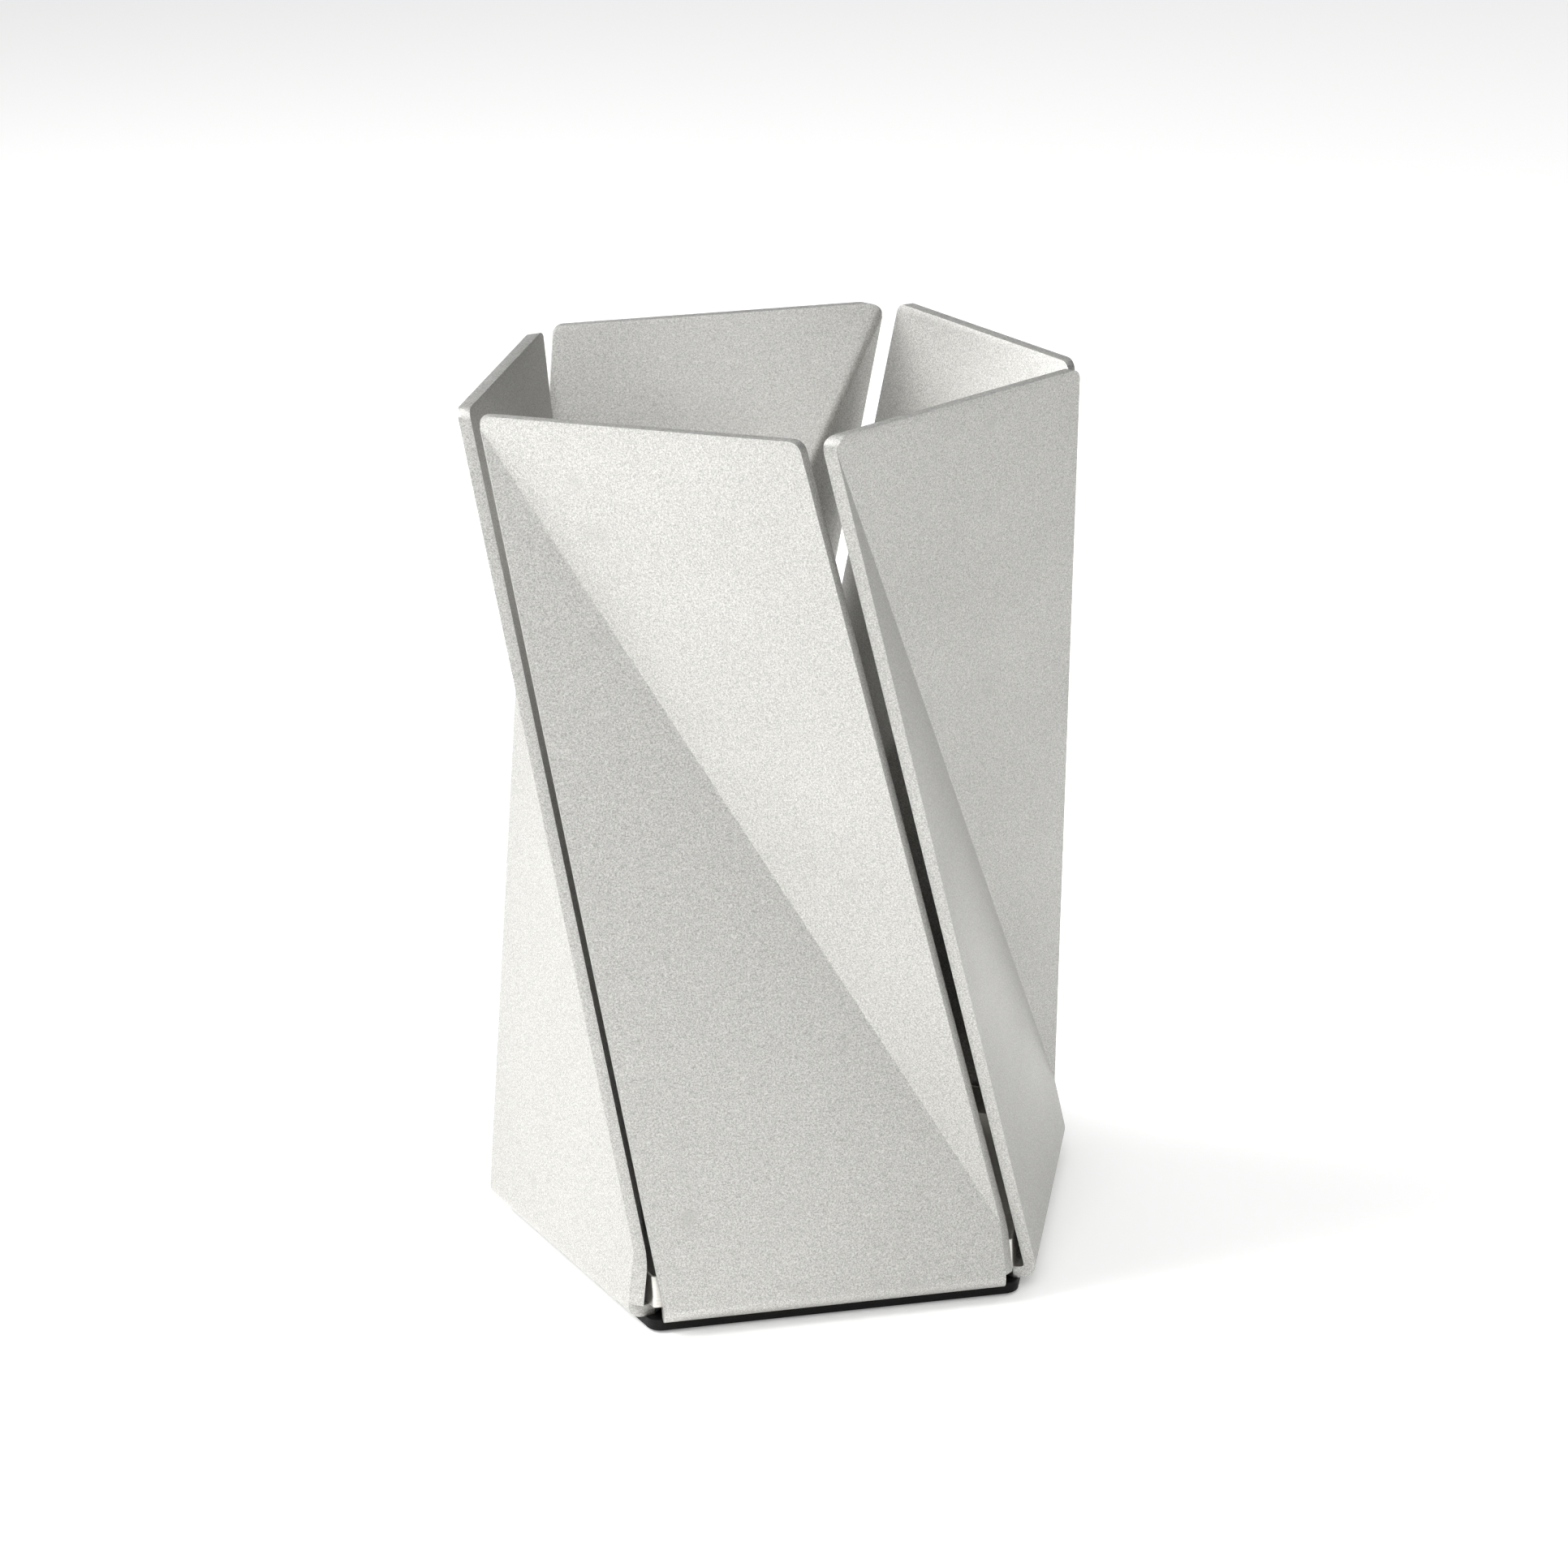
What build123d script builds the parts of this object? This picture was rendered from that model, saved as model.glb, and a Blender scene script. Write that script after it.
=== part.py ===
from build123d import *
import math
import os

# Umbrella stand: five folded plate leaves stand in a ring on a black base plate.
# Each leaf has an upper and a lower flat facet that meet at a long diagonal valley,
# so the mouth and the foot are pentagons turned half a side against each other.
# Millimetres, +Z up, origin on the floor on the ring's axis, leaf 1's foot facing -Y.

# ring of leaves, radii measured on the outer faces to the pentagon's corners
leaf_count = 5
leaf_height = 450.0
mouth_radius = 164.9
foot_radius = 170.8
crease_mouth_drop = 7.0
crease_foot_rise = 36.0

# how far a leaf's side edges stay short of the pentagon's corners, seen from outside
right_mouth_setback = 9.0
right_foot_setback = 12.0
left_mouth_setback = 11.8
left_foot_setback = 14.2
foot_corner_setback = 15.0

# plate of a leaf
plate_thickness = 6.0
valley_radius = 1.5
foot_bend_radius = 1.5
mouth_corner_radius = 6.0
flange_depth = 46.0
flange_gap = 6.0

# base plate and its pads
base_thickness = 6.0
base_inset = 10.5
base_corner_radius = 8.0
base_edge_radius = 0.6
pad_diameter = 26.0
pad_thickness = 3.0
pad_drop = 1.5
pad_clearance = 0.1
pad_edge_radius = 0.5
pad_inset = 34.0

# countersunk screws from below, a pair to each leaf
screw_diameter = 6.0
screw_head_diameter = 12.0
screw_tip_gap = 0.5
screw_side_inset = 40.0
screw_inset = 30.0
thread_clearance = 0.05
head_clearance = 0.1
hex_socket = 4.0
hex_socket_depth = 2.2

# fixed floor pan on the flanges
pan_sheet = 1.5
pan_height = 17.0
pan_bend_clearance = 3.5
pan_corner_radius = 2.5

# lift-out drip tray, narrow enough to pass the waist of the ring
tray_waist_clearance = 6.0
tray_height = 26.0
tray_wall = 2.0
tray_draft = 5.0
tray_rim_width = 5.0
tray_rim_thickness = 2.5
tray_rib_height = 3.0
tray_rib_width = 2.5
tray_rib_count = 5
tray_hub_radius = 14.0

# levels and pentagon geometry that follow from the sizes above
sector = 360 / leaf_count
half_sector = math.radians(sector / 2)
lower_azimuth = -90.0
upper_azimuth = lower_azimuth - sector / 2
base_z = pad_drop
leaf_z = base_z + base_thickness
pan_z = leaf_z + plate_thickness
tray_z = pan_z + pan_sheet
mouth_apothem = mouth_radius * math.cos(half_sector)
foot_apothem = foot_radius * math.cos(half_sector)
right_at_mouth = mouth_radius * math.sin(half_sector) - right_mouth_setback
right_at_foot = foot_radius * math.sin(2 * half_sector) - right_foot_setback
left_at_mouth = mouth_radius * math.sin(2 * half_sector) - left_mouth_setback
left_at_foot = foot_radius * math.sin(half_sector) - left_foot_setback
foot_corner_width = foot_radius * math.sin(half_sector) - foot_corner_setback


def between(at_foot, at_mouth, height):
    return at_foot + (at_mouth - at_foot) * height / leaf_height


def crease_end_widths():
    """How far the crease's ends lie sideways, at the right edge and at the left edge."""
    right = between(right_at_foot, right_at_mouth, crease_foot_rise)
    left = between(left_at_foot, left_at_mouth, leaf_height - crease_mouth_drop)
    return right, left


def facet_slopes():
    """Slopes that make the two facets meet at both ends of the crease."""
    right, left = crease_end_widths()
    cos_half = math.cos(half_sector)
    sin_half = math.sin(half_sector)
    right_drop = leaf_height - crease_foot_rise
    left_rise = leaf_height - crease_mouth_drop
    at_right = mouth_apothem * cos_half + right * sin_half - foot_apothem
    at_left = foot_apothem * cos_half + left * sin_half - mouth_apothem
    det = right_drop * left_rise * cos_half**2 - crease_foot_rise * crease_mouth_drop
    upper = (left_rise * cos_half * at_right + crease_foot_rise * at_left) / det
    lower = (right_drop * cos_half * at_left + crease_mouth_drop * at_right) / det
    return upper, lower


upper_slope, lower_slope = facet_slopes()
lower_lean = math.atan(lower_slope)


def heading(azimuth):
    return Vector(1, 0, 0).rotate(Axis.Z, azimuth)


upper_out = heading(upper_azimuth)
upper_side = heading(upper_azimuth + 90)
lower_out = heading(lower_azimuth)
lower_side = heading(lower_azimuth + 90)
upper_normal = (upper_out - Vector(0, 0, upper_slope)).normalized()
lower_normal = (lower_out + Vector(0, 0, lower_slope)).normalized()


def on_upper(side, height):
    """Point on the outer face of the upper facet, height measured from the leaf's underside."""
    out = mouth_apothem - (leaf_height - height) * upper_slope
    return upper_out * out + upper_side * side + Vector(0, 0, leaf_z + height)


def on_lower(side, height):
    """Point on the outer face of the lower facet."""
    out = foot_apothem - height * lower_slope
    return lower_out * out + lower_side * side + Vector(0, 0, leaf_z + height)


# corners of a leaf's outer face
crease_right, crease_left = crease_end_widths()
bend_outer_radius = foot_bend_radius + plate_thickness
bend_top = bend_outer_radius * (1 + math.sin(lower_lean))
bend_centre_out = foot_apothem - bend_top / math.cos(lower_lean)
mouth_right = on_upper(right_at_mouth, leaf_height)
crease_high = on_lower(-crease_left, leaf_height - crease_mouth_drop)
crease_low = on_upper(crease_right, crease_foot_rise)
foot_left_width = between(left_at_foot, left_at_mouth, bend_top)
foot_left = on_lower(-foot_left_width, bend_top)
foot_right = on_lower(foot_corner_width, bend_top)
crease_direction = (crease_low - crease_high).normalized()


def left_edge_above_crease():
    """Direction of the left edge on the upper facet, straight on from below in the flat blank."""
    edge = (crease_high - foot_left).normalized()
    along = edge.dot(crease_direction)
    across = crease_direction.cross(upper_normal)
    return crease_direction * along - across * math.sqrt(1 - along**2)


rising = left_edge_above_crease()
mouth_left = crease_high + rising * (crease_mouth_drop / rising.Z)
crease_middle = (crease_low + crease_high) * 0.5
fold_inward = (upper_normal + lower_normal).normalized() * -1
fold_cosine = abs(fold_inward.dot(upper_normal))
ridge_middle = crease_middle + fold_inward * (plate_thickness / fold_cosine)


def waist_radius():
    """Clear radius inside the ring, where the inner ridges of the leaves come closest."""
    flat = Vector(crease_direction.X, crease_direction.Y, 0).normalized()
    reach = abs(ridge_middle.X * flat.Y - ridge_middle.Y * flat.X)
    return reach


def kept(shape, point, normal, inside):
    """The piece of a shape on the same side of a plane as the inside point."""
    cut = Plane(origin=point, z_dir=normal)
    side = Keep.TOP if cut.to_local_coords(inside).Z > 0 else Keep.BOTTOM
    return split(shape, bisect_by=cut, keep=side)


def nearest_edge(shape, point):
    return shape.edges().sort_by_distance(point)[0]


def folded_sheet():
    """Both facets as one folded sheet, still too wide, with the crease rounded."""
    mitre = crease_direction.cross(fold_inward)
    size = 3 * leaf_height
    sheet = Box(size, size, plate_thickness, align=(Align.CENTER, Align.CENTER, Align.MAX))
    upper = Plane(origin=crease_middle, z_dir=upper_normal) * sheet
    lower = Plane(origin=crease_middle, z_dir=lower_normal) * sheet
    folded = kept(upper, crease_middle, mitre, mouth_right)
    folded += kept(lower, crease_middle, mitre, foot_left)
    down = lower_normal.cross(lower_side)
    folded = kept(folded, mouth_left, Vector(0, 0, 1), crease_middle)
    folded = kept(folded, foot_left, down, crease_middle)
    ridge_radius = valley_radius + plate_thickness
    folded = fillet(nearest_edge(folded, ridge_middle), ridge_radius)
    return fillet(nearest_edge(folded, crease_middle), valley_radius)


def side_cuts():
    """Normals of the long and the short side cut at the left and at the right edge.

    A long cut is square to its facet. The short cut beyond the crease starts on its line.
    """
    mitre = crease_direction.cross(fold_inward)
    long_left = (crease_high - foot_left).cross(lower_normal)
    short_left = (mouth_left - crease_high).cross(mitre.cross(long_left))
    long_right = (mouth_right - crease_low).cross(upper_normal)
    short_right = (crease_low - foot_right).cross(mitre.cross(long_right))
    return long_left, short_left, long_right, short_right


def corner_waste(corner, side_normal, along_top, along_side):
    """Prism of plate outside a mouth corner's rounding, parallel to the corner's own edge."""
    section = Plane(origin=corner, z_dir=Vector(0, 0, 1).cross(side_normal))
    top = section.to_local_coords(corner + along_top)
    side = section.to_local_coords(corner + along_side)
    top = Vector(top.X, top.Y).normalized()
    side = Vector(side.X, side.Y).normalized()
    half = math.radians(top.get_angle(side)) / 2
    reach = mouth_corner_radius / math.tan(half)
    centre = (top + side).normalized() * (mouth_corner_radius / math.sin(half))
    outline = [
        centre,
        top * reach,
        top * reach - side * reach,
        (top + side) * -reach,
        side * reach - top * reach,
        side * reach,
    ]
    waste = make_face(Polyline(*outline, close=True))
    waste -= Pos(centre.X, centre.Y) * Circle(mouth_corner_radius)
    return extrude(section * waste, amount=2 * plate_thickness, both=True)


def trimmed_facets():
    """The folded sheet cut along the leaf's side edges, with its mouth corners rounded."""
    sheet = folded_sheet()
    mitre = crease_direction.cross(fold_inward)
    long_left, short_left, long_right, short_right = side_cuts()
    upper = kept(sheet, crease_middle, mitre, mouth_right)
    upper = kept(upper, crease_high, short_left, crease_middle)
    upper = kept(upper, crease_low, long_right, crease_middle)
    lower = kept(sheet, crease_middle, mitre, foot_left)
    lower = kept(lower, crease_high, long_left, crease_middle)
    lower = kept(lower, crease_low, short_right, crease_middle)
    leftward = mouth_left - mouth_right
    trimmed = upper + lower
    trimmed -= corner_waste(mouth_left, short_left, leftward * -1, crease_high - mouth_left)
    trimmed -= corner_waste(mouth_right, long_right, leftward, crease_low - mouth_right)
    return trimmed


def bend_point(radius, angle):
    """Point of the foot bend's section, angle in degrees above the outward direction."""
    turn = math.radians(angle)
    out = bend_centre_out + radius * math.cos(turn)
    return (out, bend_outer_radius + radius * math.sin(turn))


def foot():
    """Rounded bend at the bottom and the flange that runs inward from it."""
    lean = math.degrees(lower_lean)
    middle = (lean - 90) / 2
    tip = foot_apothem - flange_depth
    section = make_face(
        [
            Line((tip, 0), bend_point(bend_outer_radius, -90)),
            ThreePointArc(
                bend_point(bend_outer_radius, -90),
                bend_point(bend_outer_radius, middle),
                bend_point(bend_outer_radius, lean),
            ),
            Line(bend_point(bend_outer_radius, lean), bend_point(foot_bend_radius, lean)),
            ThreePointArc(
                bend_point(foot_bend_radius, lean),
                bend_point(foot_bend_radius, middle),
                bend_point(foot_bend_radius, -90),
            ),
            Line(bend_point(foot_bend_radius, -90), (tip, plate_thickness)),
            Line((tip, plate_thickness), (tip, 0)),
        ]
    )
    corner = lower_side * foot_corner_width + Vector(0, 0, leaf_z)
    across = Plane(origin=corner, x_dir=lower_out, z_dir=lower_side * -1)
    strip = extrude(across * section, amount=foot_left_width + foot_corner_width)
    apex = flange_gap / 2 / math.sin(half_sector)
    reach = 2 * foot_radius
    spread = (reach - apex) * math.tan(half_sector)
    wedge = Polyline((apex, 0), (reach, spread), (reach, -spread), close=True)
    plan = Plane(origin=(0, 0, leaf_z), x_dir=lower_out, z_dir=(0, 0, 1))
    room = extrude(plan * make_face(wedge), amount=leaf_height)
    return strip & room


def screw_spots():
    """Centres of the first leaf's pair of screws."""
    out = foot_apothem - screw_inset
    side = foot_corner_width - screw_side_inset
    return [lower_out * out + lower_side * (side * s) for s in (-1, 1)]


def leaf():
    """Leaf 1, folded plate with its foot flange and two tapped holes."""
    body = trimmed_facets() + foot()
    half_plate = plate_thickness / 2
    for spot in screw_spots():
        hole = Cylinder(screw_diameter / 2 + thread_clearance, plate_thickness)
        body -= Pos(spot.X, spot.Y, leaf_z + half_plate) * hole
    return body


def around(shape, index):
    """A copy of a shape turned to another leaf's place in the ring."""
    return Rot(0, 0, sector * index) * shape


def pentagon(apothem, corner_radius):
    """Pentagon outline with a side square to -Y and rounded corners."""
    radius = apothem / math.cos(half_sector)
    turn = lower_azimuth + sector / 2
    outline = RegularPolygon(radius, leaf_count, rotation=turn)
    return fillet(outline.vertices(), corner_radius)


def countersink(clearance, length):
    """Countersunk screw shape standing on its head, or its hole with a clearance."""
    head_radius = screw_head_diameter / 2 + clearance
    shank_radius = screw_diameter / 2 + clearance
    rise = head_radius - shank_radius
    bottom = (Align.CENTER, Align.CENTER, Align.MIN)
    head = Cone(head_radius, shank_radius, rise, align=bottom)
    return head + Cylinder(shank_radius, length, align=bottom)


def all_screw_spots():
    return [around(Pos(*spot), index) for index in range(leaf_count) for spot in screw_spots()]


def leaf_screws():
    """Countersunk socket screws, heads flush with the underside of the base plate."""
    length = base_thickness + plate_thickness - screw_tip_gap
    screw = countersink(0, length)
    socket = extrude(RegularPolygon(hex_socket / 2, 6, major_radius=False), hex_socket_depth)
    screw -= socket
    return Compound([spot * Pos(0, 0, base_z) * screw for spot in all_screw_spots()])


def pad_spots():
    """One pad near each corner of the base plate."""
    out = (foot_apothem - base_inset) / math.cos(half_sector) - pad_inset
    corner = heading(lower_azimuth + sector / 2) * out
    return [around(Pos(*corner), index) for index in range(leaf_count)]


def base_plate():
    """Black plate under the flanges, with screw countersinks and pad pockets below."""
    outline = pentagon(foot_apothem - base_inset, base_corner_radius)
    plate = extrude(outline, base_thickness)
    rims = plate.faces().sort_by(Axis.Z)
    plate = fillet(rims[0].edges() + rims[-1].edges(), base_edge_radius)
    plate = Pos(0, 0, base_z) * plate
    hole = Pos(0, 0, base_z) * countersink(head_clearance, base_thickness)
    for spot in all_screw_spots():
        plate -= spot * hole
    pocket_depth = pad_thickness - pad_drop
    pocket = Cylinder(pad_diameter / 2 + pad_clearance, pocket_depth)
    for spot in pad_spots():
        plate -= spot * Pos(0, 0, base_z + pocket_depth / 2) * pocket
    return plate


def foot_pad():
    """Rubber disc, half sunk in its pocket."""
    pad = Cylinder(pad_diameter / 2, pad_thickness)
    pad = fillet(pad.edges().sort_by(Axis.Z)[0], pad_edge_radius)
    return Pos(0, 0, pad_thickness / 2) * pad


def floor_pan():
    """Folded sheet pan that stands on the flanges inside the leaves."""
    apothem = bend_centre_out - pan_bend_clearance
    outer = extrude(pentagon(apothem, pan_corner_radius), pan_height)
    inner = extrude(pentagon(apothem - pan_sheet, pan_corner_radius - pan_sheet), pan_height)
    return Pos(0, 0, pan_z) * (outer - Pos(0, 0, pan_sheet) * inner)


def tray_radii():
    """Outer radii of the tray's rim, of its wall at the rim and of its wall at the floor."""
    rim = waist_radius() - tray_waist_clearance
    top = rim - tray_rim_width
    bottom = top - tray_height * math.tan(math.radians(tray_draft))
    return rim, top, bottom


def drip_tray():
    """Round lift-out tray with a rolled-out rim and low ribs that keep ferrules off the water."""
    rim, top, bottom = tray_radii()
    base = (Align.CENTER, Align.CENTER, Align.MIN)
    shell = Cone(bottom, top, tray_height, align=base)
    lip = Cylinder(rim, tray_rim_thickness, align=base)
    shell += Pos(0, 0, tray_height - tray_rim_thickness) * lip
    hollow = Cone(bottom - tray_wall, top - tray_wall, tray_height, align=base)
    shell -= Pos(0, 0, tray_wall) * hollow
    rib_top = tray_wall + tray_rib_height
    ring = Cylinder(tray_hub_radius, rib_top, align=base)
    ring -= Cylinder(tray_hub_radius - tray_rib_width, rib_top, align=base)
    ribs = ring
    rib_length = bottom - tray_wall / 2 - tray_hub_radius + tray_rib_width / 2
    rib_align = (Align.MIN, Align.CENTER, Align.MIN)
    rib = Box(rib_length, tray_rib_width, rib_top, align=rib_align)
    for index in range(tray_rib_count):
        turn = Rot(0, 0, 360 / tray_rib_count * index)
        ribs += turn * Pos(tray_hub_radius - tray_rib_width / 2, 0, 0) * rib
    return Pos(0, 0, tray_z) * (shell + ribs)


def write(name, shape):
    export_step(shape, f"parts/{name}.step")


os.makedirs("parts", exist_ok=True)
first_leaf = leaf()
for number in range(leaf_count):
    write(f"leaf_{number + 1}", around(first_leaf, number))
for number, spot in enumerate(pad_spots()):
    write(f"foot_pad_{number + 1}", spot * foot_pad())
write("base_plate", base_plate())
write("leaf_screws", leaf_screws())
write("floor_pan", floor_pan())
write("drip_tray", drip_tray())
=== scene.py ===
import math
import bpy
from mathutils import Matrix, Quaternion, Vector


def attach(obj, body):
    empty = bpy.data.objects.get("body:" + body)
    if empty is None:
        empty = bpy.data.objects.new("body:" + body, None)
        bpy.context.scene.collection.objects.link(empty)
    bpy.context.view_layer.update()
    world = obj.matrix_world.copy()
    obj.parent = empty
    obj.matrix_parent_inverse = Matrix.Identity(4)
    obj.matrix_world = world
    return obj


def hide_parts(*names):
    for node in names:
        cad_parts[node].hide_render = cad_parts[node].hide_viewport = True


# Umbrella stand of five folded plate leaves on a black base, with a fixed floor pan and a
# lift-out drip tray. Metres, +Z up, floor at zero, the foot of leaf_1 faces -Y.

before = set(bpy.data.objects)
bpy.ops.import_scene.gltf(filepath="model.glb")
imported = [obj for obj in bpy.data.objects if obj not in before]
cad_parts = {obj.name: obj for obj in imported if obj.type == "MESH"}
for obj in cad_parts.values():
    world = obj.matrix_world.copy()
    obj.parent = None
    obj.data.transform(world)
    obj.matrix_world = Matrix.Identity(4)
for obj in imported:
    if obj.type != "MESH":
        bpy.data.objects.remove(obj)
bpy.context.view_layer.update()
mm = 0.001
leafCount = 5
print("frame loaded:", len(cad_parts), "nodes")


def linear(hexColour):
    channels = [int(hexColour[i:i + 2], 16) / 255 for i in (1, 3, 5)]
    return tuple(c / 12.92 if c < 0.04045 else ((c + 0.055) / 1.055) ** 2.4 for c in channels) + (1.0,)


def addNode(tree, kind, values=None, links=None, **settings):
    node = tree.nodes.new(kind)
    for name, value in settings.items():
        setattr(node, name, value)
    for name, value in (values or {}).items():
        node.inputs[name].default_value = value
    for name, source in (links or {}).items():
        tree.links.new(source, node.inputs[name])
    return node


def newMaterial(name):
    material = bpy.data.materials.new(name)
    material.use_nodes = True
    tree = material.node_tree
    tree.nodes.clear()
    place = addNode(tree, "ShaderNodeTexCoord").outputs["Object"]
    return material, tree, place


noiseSpan = (0.3, 0.7)  # nearly all values of a noise lie between these


def noise(tree, place, size, detail=2.0, roughness=0.5):  # size is the width of one patch, in metres
    values = {"Scale": 1 / size, "Detail": detail, "Roughness": roughness}
    return addNode(tree, "ShaderNodeTexNoise", values, {"Vector": place}).outputs["Fac"]


def spread(tree, value, span=noiseSpan, to=(0.0, 1.0)):
    values = {"From Min": span[0], "From Max": span[1], "To Min": to[0], "To Max": to[1]}
    return addNode(tree, "ShaderNodeMapRange", values, {"Value": value}).outputs["Result"]


def blendColours(tree, factor, first, second):  # 6 and 7 are a Mix node's two colours, 2 its colour result
    links = {"Factor": factor}
    values = {}
    for index, colour in ((6, first), (7, second)):
        if isinstance(colour, str):
            values[index] = linear(colour)
        else:
            links[index] = colour
    return addNode(tree, "ShaderNodeMix", values, links, data_type="RGBA").outputs[2]


def dented(tree, height, finish):
    values = {"Strength": finish["dentStrength"], "Distance": finish["dent"]}
    return addNode(tree, "ShaderNodeBump", values, {"Height": height}).outputs["Normal"]


def finishSurface(tree, values, links):
    shader = addNode(tree, "ShaderNodeBsdfPrincipled", values, links)
    addNode(tree, "ShaderNodeOutputMaterial", links={"Surface": shader.outputs["BSDF"]})


leafFinish = {
    "grain": 0.7 * mm,  # glass beads leave dents of about 0.2 mm, drawn coarser so that they show
    "cloud": 110 * mm,  # slow drift of gloss over a facet
    "smudge": 24 * mm,  # faint marks from handling
    "dark": "#9E9D9B",
    "light": "#D6D5D1",
    "smudgeColour": "#AEADAA",
    "speckleSpan": (0.34, 0.66),
    "smudgeSpan": (0.66, 0.82),
    "smudgeStrength": 0.5,
    "roughness": (0.48, 0.56),
    "grainRoughness": 0.07,
    "dent": 0.09 * mm,
    "dentStrength": 0.5,
}


def beadBlastedAluminium():
    # clear anodised over a glass-bead blast: satin grey, no streaks, a fine sparkle close to
    finish = leafFinish
    material, tree, place = newMaterial("bead-blasted anodised aluminium")
    grain = noise(tree, place, finish["grain"], roughness=0.7)
    cloud = noise(tree, place, finish["cloud"])
    smudge = noise(tree, place, finish["smudge"], detail=3.0)
    speckle = spread(tree, grain, finish["speckleSpan"])
    handled = spread(tree, smudge, finish["smudgeSpan"], (0.0, finish["smudgeStrength"]))
    tone = blendColours(tree, speckle, finish["dark"], finish["light"])
    tone = blendColours(tree, handled, tone, finish["smudgeColour"])
    drift = spread(tree, cloud, to=finish["roughness"])
    glint = spread(tree, grain, to=(-finish["grainRoughness"], finish["grainRoughness"]))
    gloss = addNode(tree, "ShaderNodeMath", links={0: drift, 1: glint}, operation="ADD").outputs["Value"]
    normal = dented(tree, grain, finish)
    finishSurface(tree, {"Metallic": 1.0}, {"Base Color": tone, "Roughness": gloss, "Normal": normal})
    return material


baseFinish = {
    "orangePeel": 1.4 * mm,  # ripple of the melted powder
    "fleck": 0.5 * mm,
    "dark": "#020202",
    "light": "#070707",
    "fleckSpan": (0.35, 0.70),
    "refraction": 1.50,
    "specular": 0.2,
    "roughness": (0.56, 0.68),
    "dent": 0.05 * mm,
    "dentStrength": 0.6,
}


def blackPowderCoat():
    # polyester powder on steel: deep matt black, softly pebbled, a little grey where light grazes it
    finish = baseFinish
    material, tree, place = newMaterial("matt black powder coat")
    peel = noise(tree, place, finish["orangePeel"], detail=1.0)
    fleck = noise(tree, place, finish["fleck"])
    tone = blendColours(tree, spread(tree, fleck, finish["fleckSpan"]), finish["dark"], finish["light"])
    gloss = spread(tree, peel, to=finish["roughness"])
    normal = dented(tree, peel, finish)
    values = {"Metallic": 0.0, "IOR": finish["refraction"], "Specular IOR Level": finish["specular"]}
    finishSurface(tree, values, {"Base Color": tone, "Roughness": gloss, "Normal": normal})
    return material


panFinish = {
    "brushWidth": 0.6 * mm,  # rolling lines, drawn coarser so that they show
    "brushLength": 60 * mm,
    "cloud": 45 * mm,
    "dark": "#C9C7C2",
    "light": "#E6E4DF",
    "roughness": (0.34, 0.46),
    "dent": 0.01 * mm,
    "dentStrength": 0.4,
}


def rolledAluminiumSheet():
    # mill-finish sheet: faint lines along the rolling direction, brighter than the blasted leaves
    finish = panFinish
    material, tree, place = newMaterial("mill-finish aluminium sheet")
    stretch = (1 / finish["brushLength"], 1 / finish["brushWidth"], 1 / finish["brushWidth"])
    along = addNode(tree, "ShaderNodeMapping", {"Scale": stretch}, {"Vector": place}).outputs["Vector"]
    lines = noise(tree, along, 1.0, detail=3.0, roughness=0.6)
    cloud = noise(tree, place, finish["cloud"])
    tone = blendColours(tree, spread(tree, lines), finish["dark"], finish["light"])
    gloss = spread(tree, cloud, to=finish["roughness"])
    normal = dented(tree, lines, finish)
    finishSurface(tree, {"Metallic": 1.0}, {"Base Color": tone, "Roughness": gloss, "Normal": normal})
    return material


screwFinish = {
    "crystal": 1.2 * mm,
    "dark": "#8E9093",
    "light": "#C4C6C9",
    "roughness": (0.25, 0.42),
    "dent": 0.01 * mm,
    "dentStrength": 0.4,
}


def zincPlatedSteel():
    # bright zinc over turned steel: bluish grey, patchy gloss
    finish = screwFinish
    material, tree, place = newMaterial("zinc-plated steel")
    crystal = noise(tree, place, finish["crystal"], detail=3.0)
    tone = blendColours(tree, spread(tree, crystal), finish["dark"], finish["light"])
    gloss = spread(tree, crystal, to=finish["roughness"])
    normal = dented(tree, crystal, finish)
    finishSurface(tree, {"Metallic": 1.0}, {"Base Color": tone, "Roughness": gloss, "Normal": normal})
    return material


padFinish = {
    "pebble": 0.7 * mm,
    "bloom": 9 * mm,  # greyish film that rubber gets with age
    "dark": "#161617",
    "light": "#262627",
    "bloomSpan": (0.40, 0.75),
    "refraction": 1.52,
    "roughness": (0.72, 0.86),
    "dent": 0.03 * mm,
    "dentStrength": 0.6,
}


def mouldedRubber():
    # black EPDM: dull, with a dusty bloom in patches
    finish = padFinish
    material, tree, place = newMaterial("moulded black rubber")
    pebble = noise(tree, place, finish["pebble"])
    bloom = noise(tree, place, finish["bloom"], detail=3.0)
    tone = blendColours(tree, spread(tree, bloom, finish["bloomSpan"]), finish["dark"], finish["light"])
    gloss = spread(tree, bloom, to=finish["roughness"])
    normal = dented(tree, pebble, finish)
    values = {"Metallic": 0.0, "IOR": finish["refraction"]}
    finishSurface(tree, values, {"Base Color": tone, "Roughness": gloss, "Normal": normal})
    return material


trayFinish = {
    "spark": 0.45 * mm,  # spark-eroded mould texture
    "wipe": 30 * mm,
    "waterMark": 18 * mm,
    "dark": "#08080A",
    "light": "#101012",
    "markColour": "#1A1A1B",
    "markSpan": (0.60, 0.72),
    "markStrength": 0.35,
    "refraction": 1.49,
    "roughness": (0.44, 0.58),
    "dent": 0.03 * mm,
    "dentStrength": 0.6,
}


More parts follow.
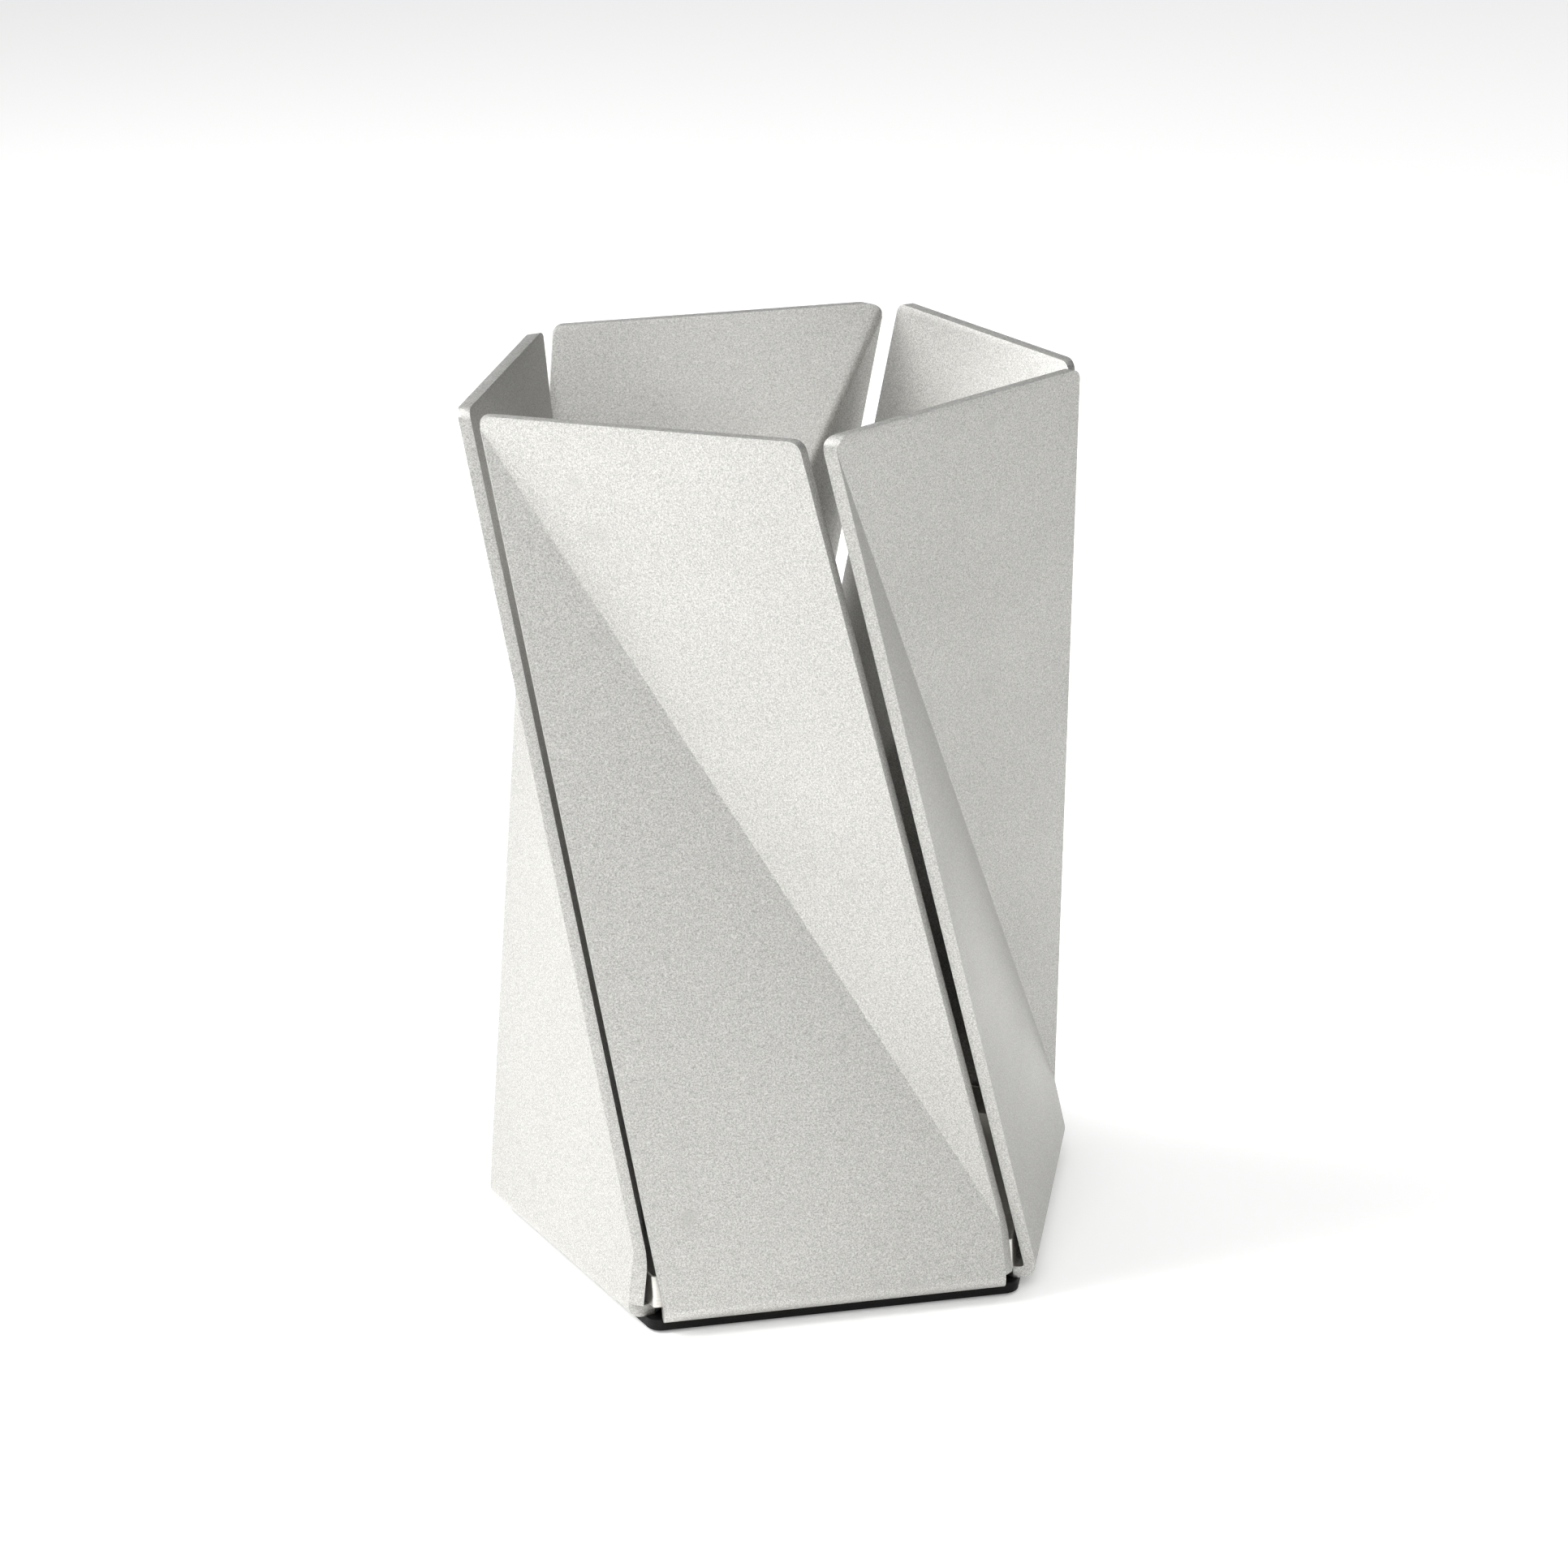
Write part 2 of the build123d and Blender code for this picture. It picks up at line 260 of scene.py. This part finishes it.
def mouldedPolypropylene():
    # black polypropylene from a spark-eroded mould: fine matt grain, pale tide marks from old drips
    finish = trayFinish
    material, tree, place = newMaterial("moulded black polypropylene")
    spark = noise(tree, place, finish["spark"], roughness=0.6)
    wipe = noise(tree, place, finish["wipe"])
    mark = noise(tree, place, finish["waterMark"], detail=4.0)
    marked = spread(tree, mark, finish["markSpan"], (0.0, finish["markStrength"]))
    tone = blendColours(tree, spread(tree, spark), finish["dark"], finish["light"])
    tone = blendColours(tree, marked, tone, finish["markColour"])
    gloss = spread(tree, wipe, to=finish["roughness"])
    normal = dented(tree, spark, finish)
    values = {"Metallic": 0.0, "IOR": finish["refraction"]}
    finishSurface(tree, values, {"Base Color": tone, "Roughness": gloss, "Normal": normal})
    return material


leafMetal = beadBlastedAluminium()
baseCoat = blackPowderCoat()
panMetal = rolledAluminiumSheet()
screwSteel = zincPlatedSteel()
padRubber = mouldedRubber()
trayPlastic = mouldedPolypropylene()
print("materials made")


weld = {"distance": 0.002 * mm, "flatBelow": 0.3, "smoothBelow": 30}  # angles in degrees


def clearSelection():
    if bpy.context.object and bpy.context.object.mode != "OBJECT":
        bpy.ops.object.mode_set(mode="OBJECT")
    bpy.ops.object.select_all(action="DESELECT")


def copyOfNode(nodeName, pieceName):  # a welded copy of a CAD node, flat faces joined up again
    piece = bpy.data.objects.new(pieceName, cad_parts[nodeName].data.copy())
    bpy.context.scene.collection.objects.link(piece)
    clearSelection()
    bpy.context.view_layer.objects.active = piece
    piece.select_set(True)
    if piece.data.has_custom_normals:
        bpy.ops.mesh.customdata_custom_splitnormals_clear()
    bpy.ops.object.mode_set(mode="EDIT")
    bpy.ops.mesh.select_all(action="SELECT")
    bpy.ops.mesh.remove_doubles(threshold=weld["distance"])
    bpy.ops.mesh.dissolve_limited(angle_limit=math.radians(weld["flatBelow"]))
    bpy.ops.object.mode_set(mode="OBJECT")
    return piece


def roundEdges(piece, edges):
    bevel = piece.modifiers.new("rounded edges", "BEVEL")
    bevel.width = edges["edgeRadius"]
    bevel.segments = edges["edgeSegments"]
    bevel.limit_method = "ANGLE"
    bevel.angle_limit = math.radians(edges["sharperThan"])
    bevel.miter_outer = "MITER_ARC"
    bpy.ops.object.modifier_apply(modifier=bevel.name)
    bpy.ops.object.shade_smooth_by_angle(angle=math.radians(weld["smoothBelow"]))


def finishPiece(piece, nodeName, body, material):
    piece.data.materials.clear()
    piece.data.materials.append(material)
    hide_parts(nodeName)
    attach(piece, body)
    clearSelection()


leafPiece = {
    "edgeRadius": 1.2 * mm,  # tumbled edges catch a thin line of light
    "edgeSegments": 3,
    "sharperThan": 50,  # degrees
}

for number in range(1, leafCount + 1):
    leaf = copyOfNode(f"leaf_{number}", f"foldedLeaf{number}")
    roundEdges(leaf, leafPiece)
    finishPiece(leaf, f"leaf_{number}", "stand", leafMetal)
print("leaves rounded")

panPiece = {"edgeRadius": 0.4 * mm, "edgeSegments": 2, "sharperThan": 50}

pan = copyOfNode("floor_pan", "floorPan")
roundEdges(pan, panPiece)
finishPiece(pan, "floor_pan", "stand", panMetal)

trayPiece = {"edgeRadius": 0.5 * mm, "edgeSegments": 2, "sharperThan": 50}

tray = copyOfNode("drip_tray", "dripTray")
roundEdges(tray, trayPiece)
finishPiece(tray, "drip_tray", "tray", trayPlastic)
print("pan and tray rounded")

nodeMaterials = {"base_plate": baseCoat, "leaf_screws": screwSteel}
nodeMaterials.update({f"foot_pad_{number}": padRubber for number in range(1, leafCount + 1)})
for nodeName, material in nodeMaterials.items():
    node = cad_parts[nodeName]
    node.data.materials.clear()
    node.data.materials.append(material)
print("base, screws and pads coated")

studio = {
    "floorSize": 40.0,
    "floorColour": "#F4F4F3",
    "floorRoughness": 0.9,
    "floorGlow": 0.28,
    "worldColour": "#F2F4F6",
    "worldStrength": 0.25,
    "leftLight": {"place": (-2.3, 0.4, 2.0), "aim": (0, 0, 0.3), "size": (2.4, 2.4), "power": 132.0},
    "frontLight": {"place": (-0.3, -2.2, 2.1), "aim": (0, 0, 0.3), "size": (2.2, 1.6), "power": 38.0},
    "ceilingLight": {"place": (0, 2.0, 7.0), "aim": (0, 2.0, 0), "size": (12.0, 12.0), "power": 340.0},
}


def softLight(name, light):
    place = Vector(light["place"])
    turn = (Vector(light["aim"]) - place).to_track_quat("-Z", "Y").to_euler()
    bpy.ops.object.light_add(type="AREA", location=place, rotation=turn)
    lamp = bpy.context.object
    lamp.name = name
    lamp.data.shape = "RECTANGLE"
    lamp.data.size, lamp.data.size_y = light["size"]
    lamp.data.energy = light["power"]


def paleFloor():
    clearSelection()
    bpy.ops.mesh.primitive_plane_add(size=studio["floorSize"], location=(0, 0, 0))
    floor = bpy.context.object
    floor.name = "studioFloor"
    material, tree, _ = newMaterial("pale studio floor")
    colour = linear(studio["floorColour"])
    finishSurface(tree, {
        "Base Color": colour,
        "Roughness": studio["floorRoughness"],
        "Specular IOR Level": 0.0,
        "Emission Color": colour,
        "Emission Strength": studio["floorGlow"],
    }, {})
    floor.data.materials.append(material)


paleFloor()
for side in ("left", "front", "ceiling"):
    softLight(side + "Softbox", studio[side + "Light"])
world = bpy.data.worlds.new("studio world")
world.use_nodes = True
bpy.context.scene.world = world
backdrop = world.node_tree.nodes["Background"]
backdrop.inputs["Color"].default_value = linear(studio["worldColour"])
backdrop.inputs["Strength"].default_value = studio["worldStrength"]
bpy.context.scene.view_settings.view_transform = "Standard"
print("studio lit")

camera = {
    "azimuth": -8.61,  # degrees, turned towards the left of leaf_1
    "elevation": 18.657,
    "distance": 2.1088,
    "lookHeight": 0.2392,
    "lookSideways": 0.00385,
    "roll": -2.34,
    "lens": 94.63,
    "sensor": 36.0,
}

turn = math.radians(camera["azimuth"])
rise = math.radians(camera["elevation"])
back = Vector((math.sin(turn) * math.cos(rise), -math.cos(turn) * math.cos(rise), math.sin(rise)))
sideways = Vector((math.cos(turn), math.sin(turn), 0))
look = sideways * camera["lookSideways"] + Vector((0, 0, camera["lookHeight"]))
level = (-back).to_track_quat("-Z", "Y")
rolled = level @ Quaternion((0, 0, 1), math.radians(camera["roll"]))
bpy.ops.object.camera_add(location=look + back * camera["distance"], rotation=rolled.to_euler())
viewer = bpy.context.object
viewer.data.lens = camera["lens"]
viewer.data.sensor_width = camera["sensor"]
bpy.context.scene.camera = viewer
print("camera placed")
